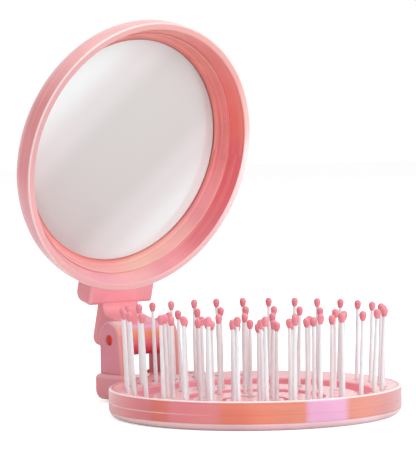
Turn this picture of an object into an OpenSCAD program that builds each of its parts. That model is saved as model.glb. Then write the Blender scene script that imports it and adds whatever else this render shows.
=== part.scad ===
// Folding hairbrush with mirror: a round dished brush half and a round mirror
// half, joined by a single-pin hinge. Millimetres, +Z up. The origin is the
// middle of the brush half's resting face, the hinge is on the +Y side.

/* [Discs] */
// Diameter of the brush half and of the mirror half
disc_d = 80; // [78:0.5:86]
// Height of the brush half at its rim
base_h = 7.75; // [7.5:0.05:9]
// Radius of the brush half's bottom edge
base_edge_r = 2.4; // [2.1:0.1:2.8]
// Height of the seam between shell and bottom cover
seam_z = 1.9; // [1.6:0.1:2]
// Radius of the fine rounding on both rims
rim_r = 0.6; // [0.3:0.1:0.7]
// Width of the brush half's rim
rim_w = 0.9; // [0.8:0.05:1.4]
// Thickness of the side wall
wall_t = 1.6; // [1.2:0.1:1.8]
// Width of the fine chamfer along the seam
seam_chamfer = 0.2; // [0.1:0.05:0.25]

/* [Brush face] */
// Height of the outer band's inner edge, where the face starts to dish
band_z = 6.2; // [6:0.05:6.6]
// Width of the outer band
band_w = 7; // [6.4:0.1:7.6]
// Width of the outer groove
outer_groove_w = 3.9; // [2:0.1:4.2]
// Width of the middle ring
middle_ring_w = 8.9; // [7.5:0.1:9.6]
// Height of the middle ring's outer edge
middle_z = 5.2; // [5:0.05:5.4]
// Width of the middle groove
middle_groove_w = 2; // [1.4:0.1:2.4]
// Width of the inner ring
inner_ring_w = 8.1; // [7.4:0.1:8.8]
// Height of the inner ring's outer edge
inner_z = 4.1; // [4:0.05:4.2]
// Width of the inner groove, outside the centre disc
inner_groove_w = 1.1; // [0.8:0.1:1.5]
// Height of the centre disc
centre_z = 3.75; // [3.65:0.05:3.85]
// Fall of the middle ring's top towards the middle
middle_fall = 0.55; // [0.3:0.05:0.7]
// Fall of the inner ring's top towards the middle
inner_fall = 0.25; // [0.1:0.05:0.35]
// Depth of the outer groove below the middle ring's edge
outer_groove = 1.3; // [0.9:0.1:1.4]
// Depth of the middle groove below the inner ring's edge
middle_groove = 0.8; // [0.5:0.1:0.9]
// Depth of the inner groove below the centre disc
inner_groove = 0.55; // [0.3:0.05:0.65]
// Rounding of the rings' top edges
ring_edge_r = 0.45; // [0.2:0.05:0.6]
// Least thickness of the face over the outer pins
band_t = 1.2; // [1:0.1:1.4]
// Thickness of the groove walls beside the pin strips
groove_wall = 0.8; // [0.6:0.1:1]
// Thickness of the face under the outer groove
groove_t = 0.95; // [0.8:0.05:1]
// Least thickness of the face over the middle pins
middle_t = 1.15; // [1:0.05:1.25]
// Least thickness of the face under the inner grooves
inner_t = 0.6; // [0.5:0.05:0.7]

/* [Pins] */
// Diameter of a pin's shaft
pin_d = 1.25; // [1:0.05:1.4]
// Clearance between a shaft and its hole, on the radius
pin_clear = 0.1; // [0.08:0.01:0.2]
// Height of the ball centres above the face in the outer row
outer_reach = 21.5; // [18:0.1:22.5]
// Height of the ball centres above the face in the middle row
middle_reach = 21.8; // [18:0.1:24]
// Height of the ball centres above the face in the inner row
inner_reach = 21.4; // [18:0.1:24]
// Height of the ball centres above the face in the centre row
centre_reach = 20.5; // [17:0.1:24]
// Outward tilt of the outermost pins, in degrees
pin_splay = 1.9; // [0:0.1:2.2]
// Number of pins in the outer row
outer_pins = 30; // [20:2:36]
// Distance of the outer row from the outer band's inner edge
outer_row_in = 2.9; // [2.6:0.1:3.2]
// Number of pins in the middle row
middle_pins = 20; // [12:2:24]
// Distance of the middle row from the middle ring's inner edge
middle_row_in = 4.6; // [3:0.1:5.4]
// Number of pins in the inner row
inner_pins = 12; // [8:2:14]
// Distance of the inner row from the inner ring's inner edge
inner_row_in = 5.8; // [3:0.1:6.3]
// Number of pins in the centre row
centre_pins = 6; // [4:1:7]
// Distance of the centre row from the centre disc's edge
centre_row_in = 1.8; // [1.6:0.1:2.4]
// Width of the strip that a row of pins stands on
strip_w = 3; // [2.4:0.1:3.2]
// Thickness of that strip
strip_t = 0.8; // [0.6:0.05:0.9]
// Diameter of a ball tip
ball_d = 1.9; // [1.7:0.05:2.2]
// Length of the ball tip's tapered neck
ball_neck = 1.5; // [1.2:0.1:2]
// Angle below the ball's middle at which the neck starts
neck_angle = 20; // [10:1:35]
// Wall of the neck's lower end
neck_wall = 0.12; // [0.1:0.01:0.2]
// Gap between shaft and ball tip, on the radius
ball_fit = 0.02; // [0.01:0.01:0.04]
// Depth of the dimple round each pin's foot
dimple_h = 0.25; // [0.1:0.05:0.3]

/* [Inside the brush half] */
// Thickness of the bottom cover's floor
cover_t = 1; // [0.9:0.05:1.1]
// Width of the cover's locating lip
lip_w = 0.9; // [0.7:0.1:1.1]
// Height of the locating lip above the seam
lip_h = 1.2; // [0.8:0.1:1.5]
// Clearance round the locating lip
lip_clear = 0.15; // [0.1:0.05:0.2]
// Clearance between the pin backing's steps and the face above them
step_clear = 0.1; // [0.05:0.05:0.2]

/* [Hinge] */
// Distance of the hinge axis beyond the discs' edge
axis_out = 11.2; // [10.8:0.1:13]
// Height of the hinge axis above either rim
axis_rise = 10.05; // [10:0.05:11]
// Angle between the two halves as modelled, 0 when closed
rest_angle = 75; // [60:1:100]
// Diameter of the hinge pin
hinge_pin_d = 3.1; // [2.6:0.1:3.4]
// Running clearance of the arm on the hinge pin, on the radius
hinge_clear = 0.05; // [0.02:0.01:0.1]
// Gap round the hinge pin in the ears that hold it, on the radius
pin_hold = 0.01; // [0.005:0.005:0.02]
// Depth of the pin's ends inside the ears
pin_recess = 0.9; // [0.4:0.1:1.2]
// Distance between the two ears
ear_gap = 13.6; // [12:0.2:15]
// Thickness of an ear
ear_t = 4.2; // [3.4:0.1:4.6]
// Radius of an ear's round end
ear_r = 4.65; // [4.2:0.05:4.8]
// Height of the round end's centre above the axis
ear_crown = 0.85; // [0.3:0.05:1.2]
// Lean of the ear's front edge, measured at the foot
ear_lean = 1.6; // [0.5:0.1:2]
// Clearance of the ears in the foot's slots
slot_clear = 0.12; // [0.1:0.02:0.2]
// Rise of the foot's top above the brush rim
foot_rise = 0.35; // [0.05:0.05:0.6]
// Fall of the foot's top between the ears, towards its back
foot_fall = 1.8; // [1.2:0.1:2]
// Height of the foot's underside above the table
foot_lift = 0.7; // [0.5:0.05:0.9]
// Side wall of the foot beside an ear
foot_wall = 1.4; // [1.2:0.05:1.8]
// Distance from the axis to the foot's back face
foot_back = 5.4; // [5.3:0.1:5.6]
// Radius of the foot's upper back edge
foot_top_r = 1; // [0.5:0.1:1.2]
// Radius of the foot's lower back edge
foot_edge_r = 2.8; // [1.5:0.1:3.2]
// Radius of the foot's upright corners
foot_corner_r = 1.4; // [0.8:0.1:2]
// Thickness of the foot's top wall at the ears' front
foot_top_t = 3; // [2.8:0.1:3.2]
// Gap round the cover's tab that closes the foot
tab_gap = 0.05; // [0.03:0.01:0.1]

/* [Mirror half] */
// Thickness of the mirror half's back, behind the pad
lid_floor_t = 1.2; // [1.1:0.1:2.2]
// Radius of the mirror half's back edge
lid_edge_r = 9; // [7:0.1:9.4]
// Width of the mirror half's lip
lip_face_w = 2; // [1.6:0.1:2.6]
// Depth of the glass below the lip
glass_depth = 9.3; // [8.8:0.1:9.6]
// Inward slope of the recess wall between the lip and the bezel
recess_draft = 1.7; // [1.2:0.1:2]
// Overlap of the bezel on the glass
glass_lap = 0.5; // [0.4:0.1:0.8]
// Thickness of the glass
glass_t = 1.5; // [1.2:0.1:1.6]
// Thickness of the adhesive pad behind the glass
pad_t = 0.2; // [0.1:0.05:0.3]
// Gap round the glass in its pocket
glass_clear = 0.15; // [0.1:0.05:0.25]
// Distance of the pad's edge inside the glass's edge
pad_in = 1; // [0.5:0.1:3]
// Step of the recess wall above the bezel
bezel_step = 0.2; // [0.1:0.05:0.3]
// Height of the bezel's thin edge on the glass
bezel_edge = 0.2; // [0.1:0.05:0.3]
// Height of the bezel ring
bezel_h = 4.5; // [3.6:0.1:5]
// Radial width of the bezel ring at its foot
bezel_w = 2.9; // [2.6:0.1:3]
// Radial thickness of the bezel ring at its top
bezel_top_w = 0.35; // [0.3:0.05:0.6]
// Radial width of the chamfer beside the glass
bezel_chamfer_w = 1.7; // [1.2:0.1:1.9]
// Height of the chamfer's top above the glass
bezel_chamfer_h = 0.8; // [0.5:0.1:1.2]
// Clearance round the bezel ring
bezel_clear = 0.1; // [0.05:0.05:0.2]
// Width of the lug under the mirror's lip
lug_w = 23.2; // [20:0.2:26]
// Length of the lug beyond the disc's edge
lug_out = 4.2; // [3.6:0.1:4.4]
// Step of the lug's face behind the lip
lug_step = 0.35; // [0.1:0.05:0.6]
// Depth of the lug's back behind the lip
lug_depth = 7.8; // [6.6:0.1:8]
// Depth to which the lug grows into the mirror half's side
lug_root = 1.8; // [1.5:0.1:2]
// Radius of the lug's lower back edge
lug_edge_r = 2.8; // [1:0.1:3]
// Radius of the lug's lower corners
lug_corner_r = 1.8; // [1:0.1:2.4]
// Clearance between the arm and each ear
arm_clear = 0.25; // [0.2:0.05:0.5]
// Radius of the arm's round end
arm_r = 4.85; // [4.4:0.05:5]
// Distance from the axis to the lowest side of the arm's heel
arm_heel = 5.2; // [5:0.05:5.4]
// Distance of the arm's back face behind the lip
arm_back = 3.25; // [2.6:0.05:3.5]
// Radius of the arm's heel
heel_r = 2.3; // [2:0.1:3]
// Radius of the fillet between the lug's front edge and the arm
root_r = 3; // [2.2:0.1:4]
// Radius of the fillet between the lug's underside and the arm's back
root_back_r = 1; // [0.6:0.1:1.4]

/* [Hidden] */
$fn = 96;

PINK = "#EE8F97";
DEEP_PINK = "#E8707C";
NYLON = "#F1ECEE";
BALL_PINK = "#E2687C";
GLASS = "#D6D8DA";
DARK_PINK = "#C85A5E";
PAD_WHITE = "#E9E6DF";

disc_r = disc_d / 2;
wall_in_r = disc_r - wall_t;

// Edges of the face's bands and rings, from the rim inwards.
rim_in_r = disc_r - rim_w;
band_in_r = rim_in_r - band_w;
middle_out_r = band_in_r - outer_groove_w;
middle_in_r = middle_out_r - middle_ring_w;
inner_out_r = middle_in_r - middle_groove_w;
inner_in_r = inner_out_r - inner_ring_w;
centre_r = inner_in_r - inner_groove_w;

// The rows of pins, each placed on its own ring.
outer_pins_r = band_in_r + outer_row_in;
middle_pins_r = middle_in_r + middle_row_in;
inner_pins_r = inner_in_r + inner_row_in;
centre_pins_r = centre_r - centre_row_in;

// Undersides of the face, from the outer band to the centre.
band_under = band_z - band_t;
outer_floor = middle_z - outer_groove;
middle_floor = inner_z - middle_groove;
inner_floor = centre_z - inner_groove;
outer_floor_under = outer_floor - groove_t;
middle_under = middle_z - middle_fall - middle_t;
inner_under = min(middle_floor, inner_floor) - inner_t;
band_pocket_r = band_in_r + groove_wall;
middle_pocket_out_r = middle_out_r - groove_wall;
middle_pocket_in_r = middle_in_r + groove_wall;

// Height of the face's top at a row of pins.
function ring_top(z, fall, out_r, in_r, r) = z - fall * (out_r - r) / (out_r - in_r);
band_top = ring_top(base_h, base_h - band_z, rim_in_r, band_in_r, outer_pins_r);
middle_top = ring_top(middle_z, middle_fall, middle_out_r, middle_in_r, middle_pins_r);
inner_top = ring_top(inner_z, inner_fall, inner_out_r, inner_in_r, inner_pins_r);

// Each row: radius, count, first angle, underside, top of the face, reach.
OUTER_ROW = [outer_pins_r, outer_pins, 180 / outer_pins, band_under, band_top, outer_reach];
MIDDLE_ROW = [middle_pins_r, middle_pins, 0, middle_under, middle_top, middle_reach];
INNER_ROW = [inner_pins_r, inner_pins, 0, inner_under, inner_top, inner_reach];
CENTRE_ROW = [centre_pins_r, centre_pins, 0, inner_under, centre_z, centre_reach];

axis_y = disc_r + axis_out;
axis_z = base_h + axis_rise;
ear_x = ear_gap / 2;
ear_out_x = ear_x + ear_t;
ear_top_z = axis_z + ear_crown;
ear_front_y = axis_y - ear_r - ear_lean;
ear_back_y = axis_y + ear_r;

foot_z = base_h + foot_rise;
foot_x = ear_out_x + slot_clear + foot_wall;
foot_y = axis_y + foot_back;
foot_room_z = foot_z - foot_top_t;
foot_room_y = ear_front_y - slot_clear;

lip_in_r = disc_r - lip_face_w;
wall_foot_r = lip_in_r - recess_draft - bezel_step;
bezel_r = wall_foot_r - bezel_clear;
view_r = bezel_r - bezel_w;
glass_r = view_r + glass_lap;
bezel_top = bezel_h - glass_depth;
pocket_z = -(glass_depth + glass_t + pad_t);
lid_t = lid_floor_t - pocket_z;
arm_x = ear_x - arm_clear;
lug_y = -(disc_r + lug_out);
over = 1;

// ---------- shared shapes ----------

// Half section of a round disc: flat bottom, round lower edge, finely rounded rim.
module disc_section(r, h, low_r, top_r) {
    square([r - low_r, h - top_r]);
    translate([0, low_r]) square([r, h - low_r - top_r]);
    square([r - top_r - low_r, h]);
    translate([0, low_r + top_r]) square([r - top_r, h - low_r - top_r]);
    translate([r - top_r, h - top_r]) circle(top_r);
    intersection() {
        translate([r - low_r, low_r]) circle(low_r);
        square([r, low_r]);
    }
}

// What a rounding of radius r takes off an outer top corner at [x, z].
module corner_cut(x, z, r) {
    translate([x, z]) difference() {
        translate([-r, -r]) square([r + 0.01, r + 0.01]);
        translate([-r, -r]) circle(r);
    }
}

// A flat ring from r1 to r2, between two heights.
module flat_ring(r1, r2, z1, z2) {
    rotate_extrude() translate([r1, z1]) square([r2 - r1, z2 - z1]);
}

// Copies of its children round a row of pins.
module along_row(row) {
    for (i = [0 : row[1] - 1]) {
        rotate([0, 0, row[2] + 360 / row[1] * i]) translate([row[0], 0, 0]) children();
    }
}

// Tilt of a row: pins lean outwards in proportion to their radius.
function row_tilt(row) = pin_splay * row[0] / outer_pins_r;

// Distance along a shaft from the strip's top to the ball's centre.
function ball_at(row) = row[4] - row[3] + row[5];

// A row of nylon pins on its strip.
module pin_strip(row) {
    flat_ring(row[0] - strip_w / 2, row[0] + strip_w / 2, row[3] - strip_t, row[3]);
    along_row(row) translate([0, 0, row[3]]) rotate([0, row_tilt(row), 0])
        translate([0, 0, -strip_t / 2]) cylinder(h = ball_at(row) + strip_t / 2, d = pin_d, $fn = 24);
}

// One ball tip: a ball over a neck that tapers to the shaft, with its socket.
module ball_tip() {
    neck_z = -ball_d / 2 * sin(neck_angle);
    neck_r = ball_d / 2 * cos(neck_angle);
    difference() {
        union() {
            sphere(d = ball_d, $fn = 32);
            translate([0, 0, neck_z - ball_neck])
                cylinder(h = ball_neck, r1 = pin_d / 2 + ball_fit + neck_wall, r2 = neck_r, $fn = 32);
        }
        translate([0, 0, -ball_neck - ball_d])
            cylinder(h = ball_neck + ball_d, r = pin_d / 2 + ball_fit, $fn = 24);
    }
}

// The ball tips of one row.
module ball_tips(row) {
    along_row(row) translate([0, 0, row[3]]) rotate([0, row_tilt(row), 0])
        translate([0, 0, ball_at(row)]) ball_tip();
}

// Holes and dimples for one row of pins.
module pin_holes(row) {
    hole_r = pin_d / 2 + pin_clear;
    along_row(row) {
        translate([0, 0, row[3] - over]) cylinder(h = row[4] - row[3] + 2 * over, r = hole_r, $fn = 24);
        translate([0, 0, row[4] - dimple_h])
            cylinder(h = 2 * dimple_h, r1 = hole_r, r2 = hole_r + 2 * dimple_h, $fn = 24);
    }
}

// ---------- brush half ----------

// Section of everything above the dished face.
module dish_section() {
    polygon([
        [0, centre_z], [centre_r, centre_z], [centre_r, inner_floor],
        [inner_in_r, inner_floor], [inner_in_r, inner_z - inner_fall],
        [inner_out_r, inner_z], [inner_out_r, middle_floor],
        [middle_in_r, middle_floor], [middle_in_r, middle_z - middle_fall],
        [middle_out_r, middle_z], [middle_out_r, outer_floor],
        [band_in_r, outer_floor], [band_in_r, band_z],
        [rim_in_r, base_h], [rim_in_r, base_h + over], [0, base_h + over]
    ]);
    corner_cut(centre_r, centre_z, ring_edge_r / 2);
    corner_cut(inner_out_r, inner_z, ring_edge_r);
    corner_cut(middle_out_r, middle_z, ring_edge_r);
}

// Section of the room under the face, which takes the strips and the backing.
module room_section() {
    square([disc_r + over, seam_z]);
    square([inner_out_r, inner_under]);
    translate([inner_out_r, 0]) square([wall_in_r - inner_out_r, outer_floor_under]);
    translate([band_pocket_r, 0]) square([wall_in_r - band_pocket_r, band_under]);
    translate([middle_pocket_in_r, 0])
        square([middle_pocket_out_r - middle_pocket_in_r, middle_under]);
}

module face_section() {
    difference() {
        disc_section(disc_r, base_h, base_edge_r, rim_r);
        dish_section();
        room_section();
        seam_notch();
    }
}

// The fine V that both seam edges leave open.
module seam_notch() {
    translate([disc_r, seam_z]) rotate(45) square(seam_chamfer * sqrt(2), center = true);
}

// Side outline of an ear, drawn as [y, z] and grown by g.
module ear_outline(g) {
    translate([axis_y, ear_top_z]) circle(ear_r + g);
    polygon([
        [axis_y - ear_r - g, ear_top_z], [axis_y + ear_r + g, ear_top_z],
        [ear_back_y + g, foot_room_z - over], [ear_front_y - g, foot_room_z - over]
    ]);
}

// Stands a [y, z] outline up and draws it out along X from x1 to x2.
module along_x(x1, x2) {
    translate([x1, 0, 0]) rotate([90, 0, 90]) linear_extrude(x2 - x1) children();
}

// A rectangle whose four corners have radius r.
module round_rect(x1, y1, x2, y2, r) {
    translate([x1 + r, y1]) square([x2 - x1 - 2 * r, y2 - y1]);
    translate([x1, y1 + r]) square([x2 - x1, y2 - y1 - 2 * r]);
    for (x = [x1 + r, x2 - r], y = [y1 + r, y2 - r]) {
        translate([x, y]) circle(r);
    }
}

// Outer form of the hinge foot, before the disc's round wall is cut from it.
module foot_block() {
    side_z = foot_lift + foot_edge_r;
    top_z = foot_z - foot_top_r;
    intersection() {
        along_x(-foot_x, foot_x) {
            translate([0, foot_lift]) square([foot_y - foot_edge_r, foot_edge_r]);
            translate([0, side_z]) square([foot_y, top_z - side_z]);
            translate([0, top_z]) square([foot_y - foot_top_r, foot_top_r]);
            translate([foot_y - foot_edge_r, side_z]) circle(foot_edge_r);
            translate([foot_y - foot_top_r, top_z]) circle(foot_top_r);
        }
        linear_extrude(foot_z + over) round_rect(-foot_x, 0, foot_x, foot_y, foot_corner_r);
    }
}

// The room inside the foot, from start_y back and from below up to top_z.
module foot_room(start_y, top_z) {
    half_x = ear_out_x + slot_clear;
    translate([-half_x, start_y, foot_lift - over])
        cube([2 * half_x, ear_back_y + slot_clear - start_y, top_z - foot_lift + over]);
}

// What is cut from the foot between the ears, drawn as [y, z]: it leaves a floor
// that falls towards the back and makes room for the arm's heel.
module floor_cut() {
    low_z = foot_z - foot_fall;
    polygon([
        [ear_front_y, foot_z], [foot_y, low_z], [foot_y + over, low_z],
        [foot_y + over, foot_z + over], [ear_front_y, foot_z + over]
    ]);
}

module base_shell() {
    color(PINK) difference() {
        union() {
            rotate_extrude() face_section();
            difference() {
                foot_block();
                translate([0, 0, -over]) cylinder(h = foot_z + 2 * over, r = disc_r - rim_r);
            }
        }
        // room for the yoke, open below, with a slot for each ear
        foot_room(foot_room_y, foot_room_z);
        foot_room(0, seam_z);
        for (side = [-1, 1]) {
            x1 = side * (ear_x + ear_t / 2) - ear_t / 2 - slot_clear;
            along_x(x1, x1 + ear_t + 2 * slot_clear) ear_outline(slot_clear);
        }
        along_x(-ear_x, ear_x) floor_cut();
        pin_holes(OUTER_ROW);
        pin_holes(MIDDLE_ROW);
        pin_holes(INNER_ROW);
        pin_holes(CENTRE_ROW);
    }
}

module bottom_cover() {
    tab_x = ear_out_x + slot_clear - tab_gap;
    color(PINK) {
        rotate_extrude() difference() {
            union() {
                intersection() {
                    disc_section(disc_r, base_h, base_edge_r, rim_r);
                    square([disc_r + over, seam_z]);
                }
                translate([wall_in_r - lip_clear - lip_w, cover_t])
                    square([lip_w, seam_z + lip_h - cover_t]);
            }
            translate([0, cover_t])
                square([wall_in_r - lip_clear - lip_w, base_h]);
            seam_notch();
        }
        difference() {
            intersection() {
                foot_block();
                translate([-tab_x, 0, 0]) cube([2 * tab_x, ear_back_y + slot_clear - tab_gap, seam_z]);
            }
            translate([0, 0, -over]) cylinder(h = 2 * base_h, r = disc_r - base_edge_r);
        }
    }
}

module pin_backing() {
    r = wall_in_r - 2 * lip_clear - lip_w;
    step_1 = band_pocket_r + step_clear;
    step_2 = middle_pocket_in_r - step_clear;
    color(NYLON) rotate_extrude() polygon([
        [0, cover_t], [r, cover_t], [r, band_under - strip_t],
        [step_1, band_under - strip_t], [step_1, middle_under - strip_t],
        [step_2, middle_under - strip_t], [step_2, inner_under - strip_t],
        [0, inner_under - strip_t]
    ]);
}

module outer_pin_strip() { color(NYLON) pin_strip(OUTER_ROW); }
module middle_pin_strip() { color(NYLON) pin_strip(MIDDLE_ROW); }
module inner_pin_strip() { color(NYLON) pin_strip(INNER_ROW); }
module centre_pin_strip() { color(NYLON) pin_strip(CENTRE_ROW); }
module outer_ball_tips() { color(BALL_PINK) ball_tips(OUTER_ROW); }
module middle_ball_tips() { color(BALL_PINK) ball_tips(MIDDLE_ROW); }
module inner_ball_tips() { color(BALL_PINK) ball_tips(INNER_ROW); }
module centre_ball_tips() { color(BALL_PINK) ball_tips(CENTRE_ROW); }

// Two ears on one web, which is trapped inside the foot.
module hinge_yoke() {
    color(DEEP_PINK) difference() {
        union() {
            for (side = [-1, 1]) {
                x1 = side * (ear_x + ear_t / 2) - ear_t / 2;
                along_x(x1, x1 + ear_t) ear_outline(0);
            }
            translate([-ear_out_x, ear_front_y, seam_z])
                cube([2 * ear_out_x, ear_back_y - ear_front_y, foot_room_z - seam_z]);
        }
        along_x(-ear_out_x - over, ear_out_x + over)
            translate([axis_y, axis_z]) circle(r = hinge_pin_d / 2 + pin_hold, $fn = 48);
    }
}

module hinge_pin() {
    half = ear_out_x - pin_recess;
    color(DARK_PINK) along_x(-half, half) translate([axis_y, axis_z]) circle(d = hinge_pin_d, $fn = 48);
}

// ---------- mirror half, drawn face up: X across, Y up the mirror, Z out of it ----------

// Puts the mirror half where the hinge holds it.
module on_hinge() {
    translate([0, axis_y, axis_z]) rotate([180 - rest_angle, 0, 0])
        translate([0, axis_y, -axis_rise]) children();
}

// Section of the recess in front of the glass, with the pockets for bezel and glass.
module recess_section() {
    polygon([
        [0, over], [lip_in_r, over], [lip_in_r, 0],
        [wall_foot_r + bezel_step, bezel_top], [wall_foot_r, bezel_top],
        [wall_foot_r, -glass_depth], [glass_r + glass_clear, -glass_depth],
        [glass_r + glass_clear, pocket_z], [0, pocket_z]
    ]);
}

// Side outline of the lug, drawn as [y, z].
module lug_outline() {
    back_z = -lug_depth;
    translate([lug_y, back_z + lug_edge_r]) square([-lug_y, lug_depth - lug_step - lug_edge_r]);
    translate([lug_y + lug_edge_r, back_z]) square([-lug_y - lug_edge_r, lug_depth - lug_step]);
    translate([lug_y + lug_edge_r, back_z + lug_edge_r]) circle(lug_edge_r);
}

// Side outline of the arm, drawn as [y, z]: it leaves the lug's underside, has a
// round heel at its back and runs forwards to a round end about the axis.
module arm_outline() {
    top_y = arm_r - axis_y;
    end_c = [-axis_y, axis_rise];
    heel_c = [heel_r - arm_heel - axis_y, heel_r - arm_back];
    way = heel_c - end_c;
    // direction from both centres to the line that touches end and heel below
    low_deg = atan2(way[1], way[0]) - acos((arm_r - heel_r) / norm(way));
    low = [cos(low_deg), sin(low_deg)];
    root_z = sqrt(pow(root_r, 2) - pow(root_r + top_y - lug_y, 2)) - lug_step;
    translate(end_c) circle(arm_r);
    translate(heel_c) circle(heel_r);
    polygon([
        end_c + arm_r * low, heel_c + heel_r * low, [heel_c[0], -arm_back],
        [lug_y + over, -arm_back], [lug_y + over, -lug_step], [top_y, -lug_step],
        [top_y, axis_rise]
    ]);
    difference() {
        translate([top_y, -lug_step]) square([lug_y - top_y, root_z + lug_step]);
        translate([top_y + root_r, root_z]) circle(root_r);
    }
    translate([lug_y - root_back_r, -arm_back - root_back_r]) difference() {
        square(root_back_r);
        circle(root_back_r);
    }
}

module lid_shell() {
    color(PINK) on_hinge() difference() {
        union() {
            rotate_extrude() difference() {
                translate([0, -lid_t]) disc_section(disc_r, lid_t, lid_edge_r, rim_r);
                recess_section();
            }
            difference() {
                union() {
                    intersection() {
                        along_x(-lug_w / 2, lug_w / 2) lug_outline();
                        translate([0, 0, -lug_depth - over]) linear_extrude(lug_depth + 2 * over)
                            round_rect(-lug_w / 2, lug_y, lug_w / 2, 0, lug_corner_r);
                    }
                    along_x(-arm_x, arm_x) arm_outline();
                }
                translate([0, 0, -lid_t - over])
                    cylinder(h = lid_t + axis_rise, r = disc_r - lug_root);
            }
        }
        along_x(-arm_x - over, arm_x + over)
            translate([-axis_y, axis_rise]) circle(r = hinge_pin_d / 2 + hinge_clear, $fn = 48);
    }
}

module mirror_bezel() {
    color(PINK) on_hinge() rotate_extrude() polygon([
        [view_r, -glass_depth], [bezel_r, -glass_depth],
        [bezel_r, bezel_top], [bezel_r - bezel_top_w, bezel_top],
        [view_r + bezel_chamfer_w, -glass_depth + bezel_chamfer_h],
        [view_r, -glass_depth + bezel_edge]
    ]);
}

module mirror_glass() {
    color(GLASS) on_hinge() translate([0, 0, -glass_depth - glass_t]) cylinder(h = glass_t, r = glass_r);
}

module mirror_pad() {
    color(PAD_WHITE) on_hinge() translate([0, 0, pocket_z]) cylinder(h = pad_t, r = glass_r - pad_in);
}

base_shell();
bottom_cover();
pin_backing();
outer_pin_strip();
middle_pin_strip();
inner_pin_strip();
centre_pin_strip();
outer_ball_tips();
middle_ball_tips();
inner_ball_tips();
centre_ball_tips();
hinge_yoke();
hinge_pin();
lid_shell();
mirror_bezel();
mirror_glass();
mirror_pad();
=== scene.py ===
"""The looks of a folding hairbrush with a mirror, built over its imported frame.

Sizes are in millimetres in the classes and become metres when a mesh is made.
The row frame has +Z up, +X along the hinge and +Y towards it from the brush.
"""

import logging
import math
from collections.abc import Sequence
from dataclasses import dataclass
from enum import Enum
from typing import ClassVar

import bmesh
import bpy
import numpy as np
from bpy.types import Material, Mesh, Node, NodeSocket, NodeTree, Object
from mathutils import Matrix, Vector

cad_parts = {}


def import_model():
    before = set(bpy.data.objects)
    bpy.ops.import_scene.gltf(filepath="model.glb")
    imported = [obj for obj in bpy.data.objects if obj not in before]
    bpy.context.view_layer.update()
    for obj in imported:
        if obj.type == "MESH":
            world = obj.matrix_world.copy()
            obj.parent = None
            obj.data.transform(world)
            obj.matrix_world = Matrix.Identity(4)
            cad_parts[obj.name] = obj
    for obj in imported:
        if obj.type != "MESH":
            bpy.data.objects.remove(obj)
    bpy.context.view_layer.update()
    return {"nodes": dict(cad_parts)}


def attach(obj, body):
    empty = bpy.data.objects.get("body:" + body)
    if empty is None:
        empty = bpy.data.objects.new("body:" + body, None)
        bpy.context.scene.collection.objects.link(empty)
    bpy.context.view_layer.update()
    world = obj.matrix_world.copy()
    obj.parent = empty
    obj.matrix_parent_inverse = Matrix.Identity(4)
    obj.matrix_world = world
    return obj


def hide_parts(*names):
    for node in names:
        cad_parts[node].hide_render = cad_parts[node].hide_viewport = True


LOG = logging.getLogger("hairbrush")
MM = 0.001
CUTTER_SEGMENTS = 240
Colour = tuple[float, float, float]


class Body(Enum):
    """The two rigid bodies that the hinge joins."""

    BASE = "base"
    LID = "lid"


class Slot(Enum):
    """The names of the record's material slots; no piece here takes them."""

    SHELL = "shell_plastic"
    YOKE = "yoke_plastic"
    PIN = "hinge_pin_plastic"
    NYLON = "pin_nylon"
    BALL = "ball_plastic"
    GLASS = "mirror_glass"
    PAD = "mirror_pad"


# ---------- geometry ----------


@dataclass
class Patch:
    """One sheet or solid of a piece.

    Attributes:
        points: Vertex places, n by 3, in millimetres.
        faces: Vertex numbers of each face.
        uvs: One UV pair for each corner of each face, in face order.
        depth: For each vertex, from 1 for the deep tone of grooves and walls, which is painted shade on the mirror's
            recess walls and at the bezel's foot, through 0 to -1 for a painted highlight on an edge and -2 for a
            painted white highlight line.
    """

    points: np.ndarray
    faces: list[list[int]]
    uvs: np.ndarray
    depth: np.ndarray

    def moved(self, matrix: np.ndarray) -> "Patch":
        """Returns the patch after a 4 by 4 rigid move."""
        points = self.points @ matrix[:3, :3].T + matrix[:3, 3]
        return Patch(points, self.faces, self.uvs, self.depth)


def joined(patches: Sequence[Patch]) -> Patch:
    """Joins patches into one, keeping each one's own vertices."""
    starts = np.cumsum([0] + [len(patch.points) for patch in patches])
    faces = [[int(i + start) for i in face] for patch, start in zip(patches, starts) for face in patch.faces]
    return Patch(
        np.concatenate([patch.points for patch in patches]),
        faces,
        np.concatenate([patch.uvs for patch in patches]),
        np.concatenate([patch.depth for patch in patches]),
    )


def grid_patch(points: np.ndarray, depth: np.ndarray, wrap_rows: bool = False) -> Patch:
    """Makes quads over a grid whose columns close on themselves.

    Args:
        points: Rows by columns by 3.
        depth: The mark of deep tone and painted light for each row, or for each point.
        wrap_rows: Whether the last row joins the first.

    Returns:
        The patch, with u round the columns and v along the rows' path in millimetres.
    """
    rows, columns = points.shape[:2]
    bands = rows if wrap_rows else rows - 1
    i, j = np.meshgrid(np.arange(bands), np.arange(columns), indexing="ij")
    i2, j2 = (i + 1) % rows, (j + 1) % columns
    quads = np.stack([i * columns + j, i * columns + j2, i2 * columns + j2, i2 * columns + j], axis=-1)
    steps = np.linalg.norm(np.diff(points[:, 0], axis=0), axis=1)
    along = np.append(np.concatenate([[0.0], np.cumsum(steps)]), steps.sum() + 1.0)
    u, v = (j / columns, (j + 1) / columns), (along[i], along[i + 1])
    uvs = np.stack([u[0], v[0], u[1], v[0], u[1], v[1], u[0], v[1]], axis=-1).reshape(-1, 2)
    flat = (np.repeat(depth[:, None], columns, axis=1) if depth.ndim == 1 else depth).ravel()
    return Patch(points.reshape(-1, 3), quads.reshape(-1, 4).tolist(), uvs, flat)


def arc(centre: tuple[float, float], radius: float, start: float, end: float, count: int = 10) -> np.ndarray:
    """Returns count points on a circle from angle start to angle end, in degrees."""
    angles = np.radians(np.linspace(start, end, count))
    return np.stack([centre[0] + radius * np.cos(angles), centre[1] + radius * np.sin(angles)], axis=1)


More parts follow.
